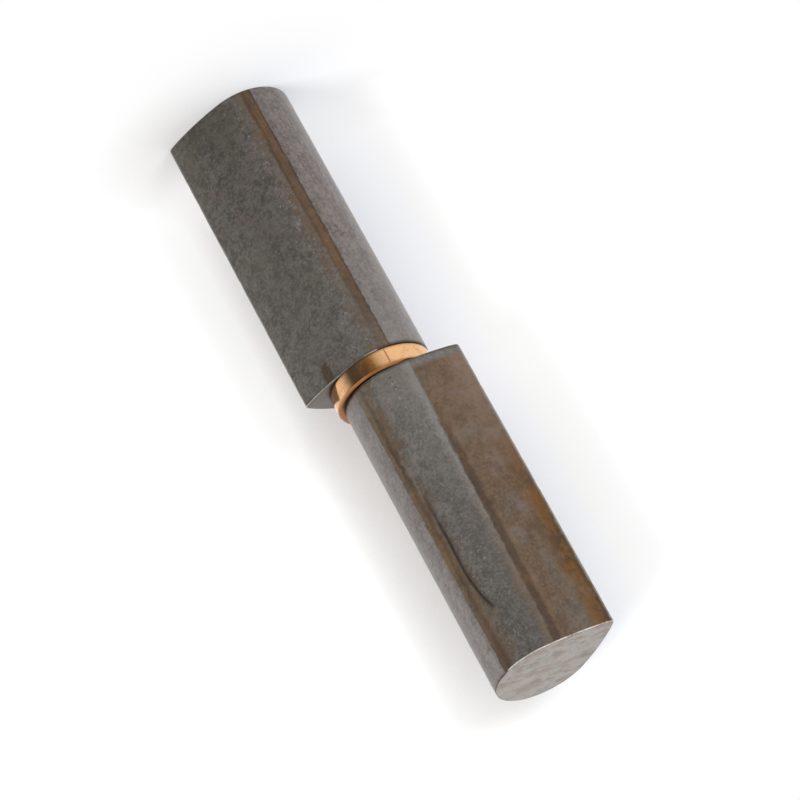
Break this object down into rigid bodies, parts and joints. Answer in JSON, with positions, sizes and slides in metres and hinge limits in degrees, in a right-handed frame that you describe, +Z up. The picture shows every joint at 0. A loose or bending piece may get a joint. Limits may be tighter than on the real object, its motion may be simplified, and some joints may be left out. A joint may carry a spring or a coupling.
{
  "type": "weld-on barrel hinge",
  "caption": "Weld-on barrel hinge: drop-shaped steel halves on a pressed pin, with a brass washer between them. The upper half swings and lifts off.",
  "frame": {"origin": "on the pin's axis, in the flat lower end of the lower half", "axes": "+Z up along the pin, +X from the pin to the lower half's weld nose"},
  "size_m": [0.023, 0.0158, 0.1016],
  "materials": {
    "steel_bar": "mill-scaled drawn steel with light rust, uncoated",
    "bright_steel": "ground",
    "brass": "turned and polished"
  },
  "bodies": {
    "lower_half": {"lower_half": "steel_bar", "hinge_pin": "bright_steel"},
    "washer": {"washer": "brass"},
    "upper_half": {"upper_half": "steel_bar"}
  },
  "joints": [
    {"name": "swing", "type": "hinge", "parent": "lower_half", "child": "washer", "pos_m": [0, 0, 0.0492], "axis": [0, 0, 1], "continuous": true},
    {"name": "lift_off", "type": "slide", "parent": "washer", "child": "upper_half", "axis": [0, 0, 1], "range_m": [0, 0.032]}
  ]
}
